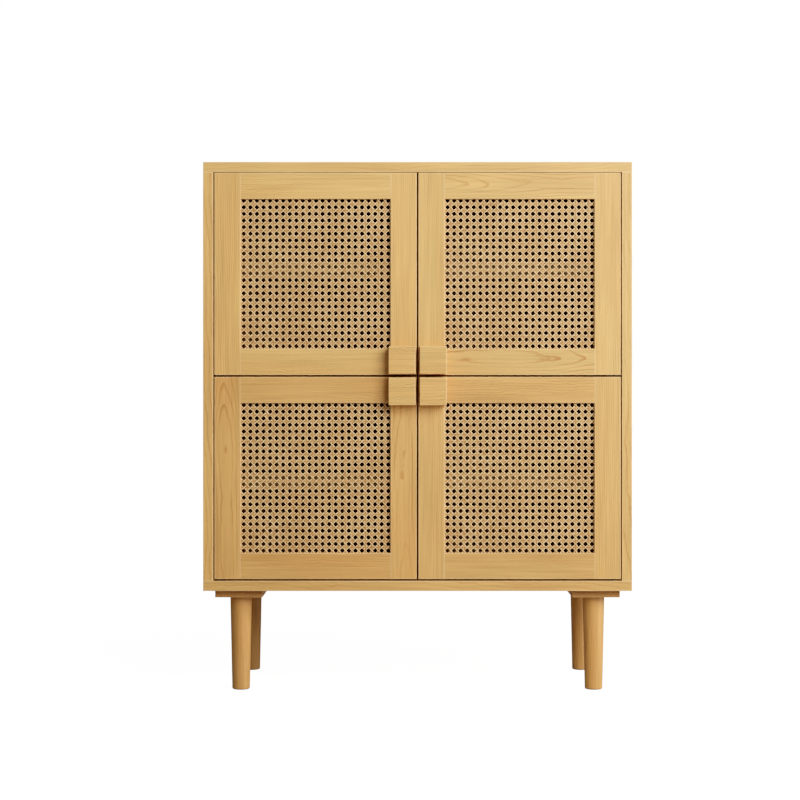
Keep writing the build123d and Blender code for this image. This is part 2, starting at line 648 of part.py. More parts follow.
def rail(door, at_top):
    """A cross-piece between the stiles, with a tenon at each end."""
    centre_z = door.high - FRAME_WIDTH / 2 if at_top else door.low + FRAME_WIDTH / 2
    into_opening = -1 if at_top else 1
    edge_z = centre_z + into_opening * FRAME_WIDTH / 2
    with BuildPart() as cross:
        with BuildSketch(Plane.XZ.offset(-FRONT)):
            with Locations((door.mid_x, centre_z)):
                Rectangle(OPENING_WIDTH, FRAME_WIDTH)
        extrude(amount=-DOOR_THICK)
        long_edges = cross.edges().filter_by(Axis.X).sort_by(Axis.Z)
        outer_edges = long_edges[2:] if at_top else long_edges[:2]
        inner_edges = long_edges[:2] if at_top else long_edges[2:]
        fillet(outer_edges, EDGE)
        chamfer(inner_edges.sort_by(Axis.Y)[0], OPENING_EDGE)
        rebate_z = edge_z - into_opening * REBATE_WIDTH / 2
        block((door.mid_x, REBATE_Y, rebate_z), (OPENING_WIDTH, REBATE_DEPTH, REBATE_WIDTH), Mode.SUBTRACT)
        tenons = (OPENING_WIDTH + 2 * TENON_LENGTH, TENON_THICK, TENON_HEIGHT)
        block((door.mid_x, TENON_Y, door.tenon_z(at_top)), tenons)
        if door.upper != at_top:
            screws(door.handle_screws(), FORWARD, HANDLE_SCREW, Mode.SUBTRACT)
            screws(door.strike_screws(), FORWARD, STRIKE_SCREW, Mode.SUBTRACT)
    return cross.part


with BuildPart() as cane_sheet:
    with BuildSketch(Plane.XZ.offset(-(FRONT + FRONT_LIP))):
        reach = 2 * (REBATE_WIDTH - CANE_PLAY)
        Rectangle(OPENING_WIDTH + reach, OPENING_HEIGHT + reach)
        with GridLocations(CANE_PITCH_X, CANE_PITCH_Z, CANE_HOLES, CANE_HOLES):
            Circle(CANE_HOLE_RADIUS, mode=Mode.SUBTRACT)
    extrude(amount=-CANE_THICK)


def cane_panel(door):
    """The woven sheet, as a thin plate with one round hole for each hole of the weave."""
    with BuildPart() as panel:
        with Locations((door.mid_x + CANE_SHIFT_X, 0, door.mid_z + CANE_SHIFT_Z[door.level])):
            add(cane_sheet.part)
    return panel.part


def cane_bead(door):
    """Four mitred strips that hold the cane in its rebate."""
    outer_w = OPENING_WIDTH / 2 + REBATE_WIDTH - BACK_PLAY
    outer_h = OPENING_HEIGHT / 2 + REBATE_WIDTH - BACK_PLAY
    inner_w = OPENING_WIDTH / 2
    inner_h = OPENING_HEIGHT / 2
    with BuildPart() as bead:
        with BuildSketch(Plane.XZ.offset(-(FRONT + FRONT_LIP + CANE_THICK))):
            with Locations((door.mid_x, door.mid_z)):
                Rectangle(2 * outer_w, 2 * outer_h)
                Rectangle(2 * inner_w, 2 * inner_h, mode=Mode.SUBTRACT)
                mitre_angle = degrees(atan2(outer_h, outer_w))
                for angle in (mitre_angle, -mitre_angle):
                    Rectangle(3 * outer_w, MITRE_GAP, rotation=angle, mode=Mode.SUBTRACT)
        extrude(amount=-BEAD_THICK)
    return bead.part


def handle(door):
    """A square pull block at the corner of the door nearest the cabinet's centre."""
    with BuildPart() as pull:
        with BuildSketch(Plane.XZ.offset(-FRONT)):
            with Locations((door.handle_x, door.handle_z)):
                Rectangle(HANDLE_WIDTH, HANDLE_HEIGHT)
        extrude(amount=HANDLE_DEPTH)
        face_edges = pull.edges().group_by(Axis.Y)[0]
        fillet(face_edges + pull.edges().filter_by(Axis.Y), HANDLE_EDGE)
        screws(door.handle_screws(), FORWARD, HANDLE_SCREW, Mode.SUBTRACT)
    return pull.part


def door_fittings(door):
    """Pivot bushes, the magnet's strike plate, and the screws of the handle and plate."""
    with BuildPart() as fittings:
        for mouth, inward in door.bush_points():
            rods([mouth], inward, COLLAR_RADIUS, BUSH_LENGTH)
            rods([mouth], inward, PIN_RADIUS + BUSH_CLEARANCE, BUSH_LENGTH, Mode.SUBTRACT)
        strike_y = DOOR_BACK + STRIKE_SIZE[1] / 2
        block((door.side * CATCH_X, strike_y, door.strike_z()), STRIKE_SIZE)
        screws(door.strike_screws(), FORWARD, STRIKE_HOLE, Mode.SUBTRACT)
        screws(door.strike_screws(), FORWARD, STRIKE_SCREW)
        screws(door.handle_screws(), FORWARD, HANDLE_SCREW)
    return fittings.part


for level in LEVELS:
    for side in SIDES:
        door = Door(level, side)
        keep(stile(door, True), f"{door.name}_hinge_stile")
        keep(stile(door, False), f"{door.name}_latch_stile")
        keep(rail(door, True), f"{door.name}_top_rail")
        keep(rail(door, False), f"{door.name}_bottom_rail")
        keep(cane_panel(door), f"{door.name}_cane_panel")
        keep(cane_bead(door), f"{door.name}_cane_bead")
        keep(handle(door), f"{door.name}_handle")
        keep(door_fittings(door), f"{door.name}_door_fittings")
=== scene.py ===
"""Shoe cabinet with cane doors: materials, woven cane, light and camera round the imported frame."""

import math
import random

import bpy
import numpy as np
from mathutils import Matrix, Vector


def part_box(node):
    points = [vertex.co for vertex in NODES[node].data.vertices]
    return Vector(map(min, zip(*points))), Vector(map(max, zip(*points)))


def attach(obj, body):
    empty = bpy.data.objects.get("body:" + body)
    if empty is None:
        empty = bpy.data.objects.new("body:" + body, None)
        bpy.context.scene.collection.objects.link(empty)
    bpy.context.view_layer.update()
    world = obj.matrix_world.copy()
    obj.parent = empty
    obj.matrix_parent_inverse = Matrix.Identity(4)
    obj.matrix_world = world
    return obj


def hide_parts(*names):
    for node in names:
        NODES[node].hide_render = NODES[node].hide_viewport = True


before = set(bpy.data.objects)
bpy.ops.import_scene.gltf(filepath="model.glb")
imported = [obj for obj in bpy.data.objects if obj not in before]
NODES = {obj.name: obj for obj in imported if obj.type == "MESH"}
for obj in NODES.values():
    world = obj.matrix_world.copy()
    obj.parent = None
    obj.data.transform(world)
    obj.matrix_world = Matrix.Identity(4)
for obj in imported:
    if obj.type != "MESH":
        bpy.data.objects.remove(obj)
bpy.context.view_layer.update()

DOORS = ("upper_left", "upper_right", "lower_left", "lower_right")
random.seed(7)


# ---------------------------------------------------------------- node helpers
class Graph:
    """A shader node tree with short ways to add and link nodes."""

    def __init__(self, tree):
        self.tree = tree
        self.nodes = tree.nodes
        self.links = tree.links

    def add(self, kind, **settings):
        node = self.nodes.new(kind)
        for key, value in settings.items():
            setattr(node, key, value)
        return node

    def feed(self, socket, value):
        """Link another node's output into the socket, or set a constant on it."""
        if isinstance(value, bpy.types.NodeSocket):
            self.links.new(value, socket)
        else:
            socket.default_value = value

    def position(self):
        """Place on the piece, in metres."""
        return self.add("ShaderNodeTexCoord").outputs["Object"]

    def math(self, operation, a, b=0.0, c=None, clamp=False):
        node = self.add("ShaderNodeMath", operation=operation, use_clamp=clamp)
        self.feed(node.inputs[0], a)
        self.feed(node.inputs[1], b)
        if c is not None:
            self.feed(node.inputs[2], c)
        return node.outputs[0]

    def vector(self, operation, a, b=(0, 0, 0)):
        node = self.add("ShaderNodeVectorMath", operation=operation)
        self.feed(node.inputs[0], a)
        self.feed(node.inputs[1], b)
        return node.outputs["Value" if operation in ("LENGTH", "DOT_PRODUCT") else "Vector"]

    def scaled(self, vector, factor):
        node = self.add("ShaderNodeVectorMath", operation="SCALE")
        self.feed(node.inputs[0], vector)
        self.feed(node.inputs["Scale"], factor)
        return node.outputs["Vector"]

    def parts(self, vector):
        """The vector's three parts as outputs named X, Y and Z."""
        split = self.add("ShaderNodeSeparateXYZ")
        self.feed(split.inputs[0], vector)
        return split.outputs

    def smooth(self, value, low, high, to_low=0.0, to_high=1.0):
        """A soft step from to_low to to_high while the value goes from low to high."""
        node = self.add("ShaderNodeMapRange", interpolation_type="SMOOTHSTEP")
        self.feed(node.inputs["Value"], value)
        self.feed(node.inputs["From Min"], low)
        self.feed(node.inputs["From Max"], high)
        self.feed(node.inputs["To Min"], to_low)
        self.feed(node.inputs["To Max"], to_high)
        return node.outputs["Result"]

    def noise(self, vector, scale, detail=2.0, roughness=0.5):
        node = self.add("ShaderNodeTexNoise")
        self.feed(node.inputs["Vector"], vector)
        self.feed(node.inputs["Scale"], scale)
        self.feed(node.inputs["Detail"], detail)
        self.feed(node.inputs["Roughness"], roughness)
        return node.outputs["Fac"]

    def mix(self, factor, a, b):
        node = self.add("ShaderNodeMix", data_type="RGBA")
        self.feed(node.inputs[0], factor)
        self.feed(node.inputs[6], a)
        self.feed(node.inputs[7], b)
        return node.outputs[2]

    def bump(self, shader, height, strength, distance):
        """Give the shader's surface a relief of that distance in metres."""
        node = self.add("ShaderNodeBump")
        self.feed(node.inputs["Strength"], strength)
        self.feed(node.inputs["Distance"], distance)
        self.feed(node.inputs["Height"], height)
        self.feed(shader.inputs["Normal"], node.outputs["Normal"])

    def seen_and_lit(self, output_kind, seen, lit):
        """Show one shader to the camera and let the other throw its light on the object."""
        ray = self.add("ShaderNodeLightPath")
        blend = self.add("ShaderNodeMixShader")
        self.feed(blend.inputs[0], ray.outputs["Is Camera Ray"])
        self.feed(blend.inputs[1], lit.outputs[0])
        self.feed(blend.inputs[2], seen.outputs[0])
        surface = self.add(output_kind)
        self.feed(surface.inputs["Surface"], blend.outputs[0])


def colour(red, green, blue):
    """A linear colour with alpha from 8-bit display values."""
    def linear(value):
        share = value / 255
        return share / 12.92 if share <= 0.04045 else ((share + 0.055) / 1.055) ** 2.4
    return (linear(red), linear(green), linear(blue), 1.0)


def shaded(base, factor):
    """The linear colour made darker or lighter, up to white."""
    return tuple(min(1.0, factor * part) for part in base[:3]) + (1.0,)


def empty_graph(owner):
    """The cleared node tree of a material or world."""
    owner.use_nodes = True
    owner.node_tree.nodes.clear()
    return Graph(owner.node_tree)


def new_material(name):
    """A material with a Principled shader on its output; returns both with the graph."""
    material = bpy.data.materials.new(name)
    graph = empty_graph(material)
    shader = graph.add("ShaderNodeBsdfPrincipled")
    output = graph.add("ShaderNodeOutputMaterial")
    graph.feed(output.inputs["Surface"], shader.outputs["BSDF"])
    return material, graph, shader


# ---------------------------------------------------------------- wood
LIGHT_WOOD = colour(226, 178, 107)
LATE_WOOD = colour(186, 124, 60)
WARM_WOOD = colour(219, 157, 88)
END_WOOD = colour(184, 128, 70)
# the pale tint of a painted highlight on eased edges that catch the light
PAINTED_EDGE_HIGHLIGHT = colour(240, 214, 166)

BOARD_INPUTS = (
    ("Position", "Vector"), ("Heart", "Vector"), ("Edge", "Float"), ("End", "Float"), ("Tone", "Float"),
    ("Warmth", "Float"), ("Figure", "Float"), ("Spacing", "Float"), ("Curl", "Float"),
)
BOARD_OUTPUTS = (("Color", "Color"), ("Roughness", "Float"), ("Height", "Float"))


def board_group():
    """Wood in board space: X along the grain, Y across the face and Z into the board."""
    tree = bpy.data.node_groups.new("board_wood", "ShaderNodeTree")
    for name, kind in BOARD_INPUTS:
        tree.interface.new_socket(name, in_out="INPUT", socket_type=f"NodeSocket{kind}")
    for name, kind in BOARD_OUTPUTS:
        tree.interface.new_socket(name, in_out="OUTPUT", socket_type=f"NodeSocket{kind}")
    graph = Graph(tree)
    given = graph.add("NodeGroupInput").outputs
    outlet = graph.add("NodeGroupOutput").inputs
    place = graph.vector("SUBTRACT", given["Position"], given["Heart"])

    def stretched(along, across, detail=2.0, roughness=0.5):
        """Noise about zero, in waves per metre along and across the grain."""
        waves = graph.vector("MULTIPLY", place, (along, across, across))
        return graph.math("SUBTRACT", graph.noise(waves, 1.0, detail, roughness), 0.5)

    # growth rings about the tree's heart: the radius drifts, sways and ripples along the board
    radius = graph.vector("LENGTH", graph.vector("MULTIPLY", place, (0.0, 1.0, 1.0)))
    radius = graph.math("MULTIPLY_ADD", graph.parts(place)["X"], 0.022, radius)
    radius = graph.math("MULTIPLY_ADD", stretched(along=1.3, across=5.0), 0.030, radius)
    sway = graph.math("MULTIPLY_ADD", given["Curl"], 0.008, 0.006)
    radius = graph.math("MULTIPLY_ADD", stretched(along=6.0, across=18.0), sway, radius)
    wobble = stretched(along=48.0, across=70.0, detail=3.0, roughness=0.6)
    ripple = graph.math("MULTIPLY", wobble, given["Curl"])
    radius = graph.math("MULTIPLY_ADD", ripple, 0.006, radius)

    # late wood darkens slowly over each ring and ends sharply, and shows in patches
    phase = graph.math("FRACT", graph.math("DIVIDE", radius, given["Spacing"]))
    rise = graph.smooth(phase, 0.68, 0.95)
    fall = graph.smooth(phase, 0.95, 1.0, to_low=1.0, to_high=0.0)
    patches = stretched(along=4.0, across=22.0, roughness=0.6)
    patchy = graph.smooth(patches, -0.16, 0.16, to_low=0.15)
    ring = graph.math("MULTIPLY", rise, fall)
    ring = graph.math("MULTIPLY", ring, graph.math("MULTIPLY", patchy, given["Figure"]), clamp=True)

    # streaks, fibres and short flecks, slow changes of tone, and a painted sheen of broad light patches
    cloud = stretched(along=2.6, across=16.0)
    painted_sheen = stretched(along=3.5, across=30.0)
    streak = stretched(along=7.0, across=230.0, roughness=0.55)
    fibre = stretched(along=14.0, across=800.0, detail=3.0, roughness=0.6)
    fleck = graph.smooth(stretched(along=60.0, across=1100.0, detail=1.0), 0.16, 0.28)

    warm = graph.math("ADD", given["Warmth"], graph.smooth(cloud, -0.16, 0.2, to_high=0.4), clamp=True)
    tint = graph.mix(warm, LIGHT_WOOD, WARM_WOOD)
    tint = graph.mix(ring, tint, LATE_WOOD)
    # Edge carries a painted highlight on eased edges: a pale tint here and a lift of value below
    for mask, share, target in ((fleck, 0.2, LATE_WOOD), (given["Edge"], 0.35, PAINTED_EDGE_HIGHLIGHT),
                                (given["End"], 0.75, END_WOOD)):
        tint = graph.mix(graph.math("MULTIPLY", mask, share), tint, target)
    value = given["Tone"]
    for pattern, weight in ((fibre, 0.30), (streak, 0.50), (painted_sheen, 0.34), (given["Edge"], 0.08)):
        value = graph.math("MULTIPLY_ADD", pattern, weight, value)
    graph.feed(outlet["Color"], graph.scaled(tint, value))

    rough = 0.47
    for pattern, weight in ((fibre, 0.12), (ring, 0.05), (given["Edge"], -0.06)):
        rough = graph.math("MULTIPLY_ADD", pattern, weight, rough)
    graph.feed(outlet["Roughness"], rough)

    height = graph.math("MULTIPLY", fibre, 0.6)
    for pattern, weight in ((ring, -0.25), (fleck, -0.5)):
        height = graph.math("MULTIPLY_ADD", pattern, weight, height)
    graph.feed(outlet["Height"], height)
    return tree


BOARD_GROUP = board_group()
AXES = "XYZ"
BOARD_AXES = {"x": (0, 2, 1), "y": (1, 0, 2), "z": (2, 0, 1)}    # grain direction: along, across, into
EDGE_HIGHLIGHT_REACH = 0.0028       # how far the painted highlight on eased edges reaches in from a board's edges

# a cut says where the tree's heart lies from the board's middle, and how far apart its rings are
FLAT_SAWN = "flat"       # the face is a tangent to the rings: open cathedrals
RIFT_SAWN = "rift"       # the rings meet the face at a slant: close straight lines
HEART_ACROSS = {FLAT_SAWN: (-0.008, 0.008), RIFT_SAWN: (0.05, 0.09)}
HEART_DEPTH = {FLAT_SAWN: (0.030, 0.045), RIFT_SAWN: (0.02, 0.06)}
RING_SPACING = {FLAT_SAWN: 0.0024, RIFT_SAWN: 0.0036}
SPACING_SPREAD = (0.85, 1.25)
ALONG_TREE = 9.0         # how far along the tree, either way, a board may come from
WIDE_BOARD = 0.1         # half width from which a rift-sawn board's heart lies deeper
WIDE_DEPTH = 0.05


def edge_highlight_mask(graph, vector, centre, half):
    """Near 1 where two faces of the board's box meet, 0 from the highlight's reach inwards: the mask of a
    painted highlight on eased edges.
    """
    offset = graph.vector("ABSOLUTE", graph.vector("SUBTRACT", vector, centre))
    x, y, z = graph.parts(graph.vector("SUBTRACT", half, offset))
    low_xy = graph.math("MINIMUM", x, y)
    high_xy = graph.math("MAXIMUM", x, y)
    second = graph.math("MINIMUM", high_xy, graph.math("MAXIMUM", low_xy, z))
    return graph.smooth(second, 0.0, EDGE_HIGHLIGHT_REACH, to_low=1.0, to_high=0.0)


def board_space(graph, vector, order):
    """The vector's parts in the board's order: along, across and into it."""
    parts = graph.parts(vector)
    join = graph.add("ShaderNodeCombineXYZ")
    for socket, axis in zip(join.inputs, order):
        graph.feed(socket, parts[AXES[axis]])
    return join.outputs[0]


def wood(name, box, grain, tone=1.0, warmth=0.0, figure=1.0, cut=RIFT_SAWN, curl=0.5):
    """Lacquered wood for one board, cut from its own place in the tree."""
    material, graph, shader = new_material(name)
    low, high = box
    centre = (low + high) / 2
    half = (high - low) / 2
    order = BOARD_AXES[grain]
    along_axis, across_axis, depth_axis = order

    side = random.choice((-1, 1))
    across = random.uniform(*HEART_ACROSS[cut])
    depth = random.uniform(*HEART_DEPTH[cut])
    if cut == RIFT_SAWN:
        across *= side
        if half[across_axis] > WIDE_BOARD:
            depth += WIDE_DEPTH
    start = random.uniform(-ALONG_TREE, ALONG_TREE)
    depth *= random.choice((-1, 1))
    spacing = RING_SPACING[cut] * random.uniform(*SPACING_SPREAD)

    coordinates = graph.add("ShaderNodeTexCoord").outputs
    facing = graph.vector("DOT_PRODUCT", coordinates["Normal"],
                          tuple(1.0 if axis == along_axis else 0.0 for axis in range(3)))
    group = graph.add("ShaderNodeGroup", node_tree=BOARD_GROUP)
    for socket, value in (
        ("Position", board_space(graph, coordinates["Object"], order)),
        ("Heart", (start, centre[across_axis] + across, centre[depth_axis] + depth)),
        ("Edge", edge_highlight_mask(graph, coordinates["Object"], tuple(centre), tuple(half))),
        ("End", graph.smooth(graph.math("ABSOLUTE", facing), 0.55, 0.95)),
        ("Tone", tone), ("Warmth", warmth), ("Figure", figure), ("Spacing", spacing), ("Curl", curl),
    ):
        graph.feed(group.inputs[socket], value)
    graph.feed(shader.inputs["Base Color"], group.outputs["Color"])
    graph.feed(shader.inputs["Roughness"], group.outputs["Roughness"])
    graph.feed(shader.inputs["Specular IOR Level"], 0.42)
    graph.bump(shader, group.outputs["Height"], strength=0.35, distance=0.00035)
    return material


# ---------------------------------------------------------------- other materials
BRUSHING = (900.0, 900.0, 60.0)      # waves per metre, close across the strokes and long along Z


def metal(name, base, roughness):
    """Plated steel with fine brushing and faint stains."""
    material, graph, shader = new_material(name)
    position = graph.position()
    line = graph.noise(graph.vector("MULTIPLY", position, BRUSHING), 1.0, 3.0, 0.6)
    stain = graph.smooth(graph.noise(position, 120.0, 3.0, 0.55), 0.4, 0.75)
    graph.feed(shader.inputs["Base Color"], graph.mix(stain, base, shaded(base, 0.72)))
    graph.feed(shader.inputs["Roughness"], graph.math("MULTIPLY_ADD", line, 0.22, roughness))
    graph.feed(shader.inputs["Metallic"], 1.0)
    graph.bump(shader, line, strength=0.2, distance=0.0001)
    return material


def moulded(name, base, roughness, grain_size, depth):
    """Plastic or felt: a fine random texture with slow changes of tone."""
    material, graph, shader = new_material(name)
    position = graph.position()
    fine = graph.noise(position, grain_size, 4.0, 0.65)
    slow = graph.smooth(graph.noise(position, grain_size / 30), 0.3, 0.8)
    graph.feed(shader.inputs["Base Color"], graph.mix(slow, base, shaded(base, 1.35)))
    graph.feed(shader.inputs["Roughness"], graph.math("MULTIPLY_ADD", fine, 0.2, roughness))
    graph.bump(shader, fine, strength=0.5, distance=depth)
    return material


def cane_material(name, base, shadow):
    """Rattan strand: fine long fibres, darker blotches and a satin skin."""
    material, graph, shader = new_material(name)
    position = graph.position()
    blotch = graph.noise(position, 160.0, 2.0, 0.6)
    drift = graph.noise(position, 14.0)
    fine = graph.noise(position, 1500.0, 3.0, 0.6)
    tint = base
    for pattern, low, high, share in ((blotch, 0.38, 0.72, 0.8), (drift, 0.35, 0.75, 0.35),
                                      (fine, 0.45, 0.8, 0.3)):
        tint = graph.mix(graph.smooth(pattern, low, high, to_high=share), tint, shadow)
    graph.feed(shader.inputs["Base Color"], tint)
    graph.feed(shader.inputs["Roughness"], graph.math("MULTIPLY_ADD", fine, 0.25, 0.32))
    graph.feed(shader.inputs["Specular IOR Level"], 0.5)
    graph.bump(shader, fine, strength=0.4, distance=0.0002)
    return material


def dress(node_name, material):
    """Put one material on every slot of a CAD node."""
    slots = NODES[node_name].data.materials
    if not slots:
        slots.append(material)
    for index in range(len(slots)):
        slots[index] = material


def dress_wood(node_name, grain, **settings):
    dress(node_name, wood(f"wood_{node_name}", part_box(node_name), grain, **settings))


# carcass
dress_wood("top_panel", "x", tone=1.0, figure=0.7)
# the bottom panel and the left side panel are warmer as painted shade, where less light falls on them
dress_wood("bottom_panel", "x", tone=0.94, warmth=0.3, figure=0.8)
dress_wood("mid_shelf", "x", tone=0.97)
dress_wood("side_panel_left", "z", tone=1.05, warmth=0.15, figure=0.8)
dress_wood("side_panel_right", "z", tone=0.97, figure=0.7)
for side in ("left", "right"):
    # the leg rails' deeper, warmer tone is painted shade in part: they stand in the shade under the carcass
    dress_wood(f"leg_rail_{side}", "y", tone=0.90, warmth=1.0)
    # the rear legs are darker as painted shade: they stand in the carcass's shadow
    for place, tone in (("front", 0.92), ("rear", 0.74)):
        dress_wood(f"leg_{place}_{side}", "z", tone=tone, warmth=0.85, figure=0.7)
    for level in ("upper", "lower"):
        # the shelves' dark tone is painted shade, standing in for the dark inside the cabinet
        dress_wood(f"shelf_{level}_{side}", "x", tone=0.30, warmth=1.0)
for level in ("upper", "lower"):
    dress_wood(f"divider_{level}", "z", tone=0.97)
# the back panel's darker tone is painted shade, so that the inside seen through the cane stays dark
dress_wood("back_panel", "z", tone=0.5, warmth=0.6, cut=FLAT_SAWN)
dress_wood("carcass_dowels", "z", tone=0.9)

# doors: the boards of each frame differ a little in tone, and some show cathedrals; the lower doors are
# warmer as painted shade, where less light falls
CATHEDRALS = {
    "lower_left_hinge_stile", "lower_left_latch_stile", "upper_right_top_rail", "upper_right_bottom_rail",
}
CATHEDRAL_LOOK = {"cut": FLAT_SAWN, "figure": 0.95, "curl": 0.2}
MEMBER_LOOK = {
    "hinge_stile": ("z", 1.0, {"figure": 0.8, "curl": 0.3}),
    "latch_stile": ("z", 1.01, {"figure": 0.6, "curl": 0.3}),
    "top_rail": ("x", 0.99, {"figure": 0.9, "curl": 1.0}),
    "bottom_rail": ("x", 0.97, {"figure": 0.9, "curl": 1.0}),
}
DOOR_TONE = {"upper_left": 1.08, "upper_right": 1.0, "lower_left": 1.0, "lower_right": 0.99}
# warmth of the lower doors: painted shade standing in for the dimmer light low down
DOOR_WARMTH = {"upper_left": 0.0, "upper_right": 0.0, "lower_left": 0.55, "lower_right": 0.3}
HANDLE_TONE = {"upper_left": 1.0, "upper_right": 1.04, "lower_left": 1.0, "lower_right": 1.04}
for door in DOORS:
    warmth = DOOR_WARMTH[door]
    for member, (grain, tone, look) in MEMBER_LOOK.items():
        name = f"{door}_{member}"
        if name in CATHEDRALS:
            look = CATHEDRAL_LOOK
        dress_wood(name, grain, tone=tone * DOOR_TONE[door], warmth=warmth, **look)
    dress_wood(f"{door}_cane_bead", "x", tone=0.97, warmth=warmth, figure=0.6)
    dress_wood(f"{door}_handle", "x", tone=HANDLE_TONE[door], warmth=0.1, curl=1.3)

STEEL = metal("plated_steel", (0.62, 0.62, 0.60, 1.0), 0.28)
# the two dark steels are partly a dark finish and partly painted shade, so that fittings seen in the door
# gaps read as shade
GAP_SHADE_STEEL = metal("gap_shade_steel", (0.26, 0.24, 0.21, 1.0), 0.42)
DARK_STEEL = metal("black_steel", (0.05, 0.046, 0.042, 1.0), 0.45)
PLASTIC = moulded("brown_plastic", colour(96, 66, 42), 0.42, 900.0, 0.0002)
FELT = moulded("brown_felt", colour(92, 70, 50), 0.8, 2200.0, 0.0008)
for name in ("shelf_pegs", "leg_bolts", "leg_nuts", "cam_locks", "wood_screws"):
    dress(name, STEEL)
# door fittings and pivot parts are darkened steel, partly as painted shade in the door gaps
for door in DOORS:
    dress(f"{door}_door_fittings", GAP_SHADE_STEEL)
for name in ("pivot_plates", "pivot_pins"):
    dress(name, DARK_STEEL)
dress("magnetic_catches", PLASTIC)
dress("foot_pads", FELT)


# ---------------------------------------------------------------- woven cane
PITCH_X = 0.01226
PITCH_Z = 0.01236
HOLES = 23
STRAND_WIDTH = 0.00195
DIAGONAL_WIDTH = 0.00155
WIDTH_SPREAD = (0.92, 1.08)
STRAND_THICK = 0.00060
PAIR_OFFSET = 0.00130    # of each strand from its pair's middle
JITTER = 0.00006
BEND_WAVES = 60          # radians per metre of a strand's slow bend
WEAVE_LIFT = 0.00022
DIAGONAL_LIFT = 0.00050
STEPS = 6                # points per cell of the weave
FIRST_LINE = -HOLES / 2  # the outermost pair, in pitches from the sheet's middle
PAIRS, DIAGONALS = 0, 1  # material slots
# a strand's section, with a flat back and a crowned front: shares of its width and thickness
SECTION = np.array([(-0.5, -0.5), (-0.5, 0.05), (-0.28, 0.5), (0.28, 0.5), (0.5, 0.05), (0.5, -0.5)])


def strand(along_x, along_z, lift, across, width):
    """Rings of points of a flat strip. Lift is its height towards the front, and across is the unit
    direction over its width.
    """
    side = SECTION[:, 0] * width
    out = SECTION[:, 1] * STRAND_THICK
    points = np.empty((len(lift), len(SECTION), 3))
    points[..., 0] = along_x[:, None] + across[0] * side[None, :]
    points[..., 1] = -(lift[:, None] + out[None, :])
    points[..., 2] = along_z[:, None] + across[1] * side[None, :]
    return points


def pair_strands(rng, low, high, upright):
    """Pairs of upright or of level strands, woven over and under the pairs that cross them."""
    line_axis, run_axis = (0, 1) if upright else (1, 0)
    pitch, cross_pitch = (PITCH_X, PITCH_Z) if upright else (PITCH_Z, PITCH_X)
    sign = 1 if upright else -1
    start, stop = low[run_axis], high[run_axis]
    run = np.linspace(start, stop, int((stop - start) / cross_pitch * STEPS) + 1)
    cell = (run / cross_pitch - FIRST_LINE) % 1.0
    cell = np.where(cell > 0.5, cell - 1.0, cell) * cross_pitch
    wave = np.sin(math.pi * cell / (2 * PAIR_OFFSET)) * np.exp(-((cell / (2.4 * PAIR_OFFSET)) ** 2))
    strands = []
    for k in range(HOLES + 1):
        for half in (-1, 1):
            offset = (FIRST_LINE + k) * pitch + half * (PAIR_OFFSET + rng.normal(0, JITTER))
            width = STRAND_WIDTH * rng.uniform(*WIDTH_SPREAD)
            bend = rng.normal(0, JITTER) * np.sin(run * BEND_WAVES + rng.uniform(0, 6))
            if not low[line_axis] < offset < high[line_axis]:
                continue
            line = offset + bend
            lift = sign * half * WEAVE_LIFT * wave
            if upright:
                strands.append(strand(line, run, lift, (1, 0), width))
            else:
                strands.append(strand(run, line, lift, (0, 1), width))
    return strands


def diagonal_strands(rng, low, high, turn):
    """Diagonals over one set of pairs and under the other; turn is 1 or -1."""
    slope = turn * PITCH_Z / PITCH_X
    length = math.hypot(1.0, slope)
    across = (slope / length, 1 / length)
    strands = []
    for k in range(-3 * HOLES, 3 * HOLES):
        level = (k + 0.5) * PITCH_Z
        ends = sorted(((level - low[1]) / slope, (level - high[1]) / slope))
        start, stop = max(low[0], ends[0]), min(high[0], ends[1])
        if stop - start < PITCH_X:
            continue
        x = np.linspace(start, stop, int((stop - start) / PITCH_X * STEPS) + 2)
        lift = -turn * DIAGONAL_LIFT * np.cos(2 * math.pi * x / PITCH_X)
        width = DIAGONAL_WIDTH * rng.uniform(*WIDTH_SPREAD)
        strands.append(strand(x, level - slope * x, lift, across, width))
    return strands


def weave(low, high):
    """Strands between two corners (x, z) about the lattice's centre, each with its material slot."""
    rng = np.random.default_rng(11)
    strands = [(rings, PAIRS) for upright in (True, False) for rings in pair_strands(rng, low, high, upright)]
    strands += [(rings, DIAGONALS) for turn in (1, -1) for rings in diagonal_strands(rng, low, high, turn)]
    return strands


def cane_mesh(name, low, high):
    """One mesh of all strands, with the pairs and the diagonals in their own material slots."""
    points, faces, slots = [], [], []
    base = 0
    for rings, slot in weave(low, high):
        count, around, _ = rings.shape
        points.append(rings.reshape(-1, 3))
        index = base + np.arange(count * around).reshape(count, around)
        after = np.roll(index, -1, axis=1)
        quads = np.stack((index[:-1], index[1:], after[1:], after[:-1]), axis=-1).reshape(-1, 4)
        faces.append(quads)
        slots.append(np.full(len(quads), slot, np.int32))
        base += count * around
    points = np.concatenate(points)
    faces = np.concatenate(faces)
    slots = np.concatenate(slots)
    mesh = bpy.data.meshes.new(name)
    mesh.vertices.add(len(points))
    mesh.vertices.foreach_set("co", points.astype(np.float32).ravel())
    mesh.loops.add(faces.size)
    mesh.loops.foreach_set("vertex_index", faces.astype(np.int32).ravel())
    mesh.polygons.add(len(faces))
    mesh.polygons.foreach_set("loop_start", np.arange(0, faces.size, 4, dtype=np.int32))
    mesh.polygons.foreach_set("material_index", slots)
    mesh.update(calc_edges=True)
    mesh.validate()
    return mesh


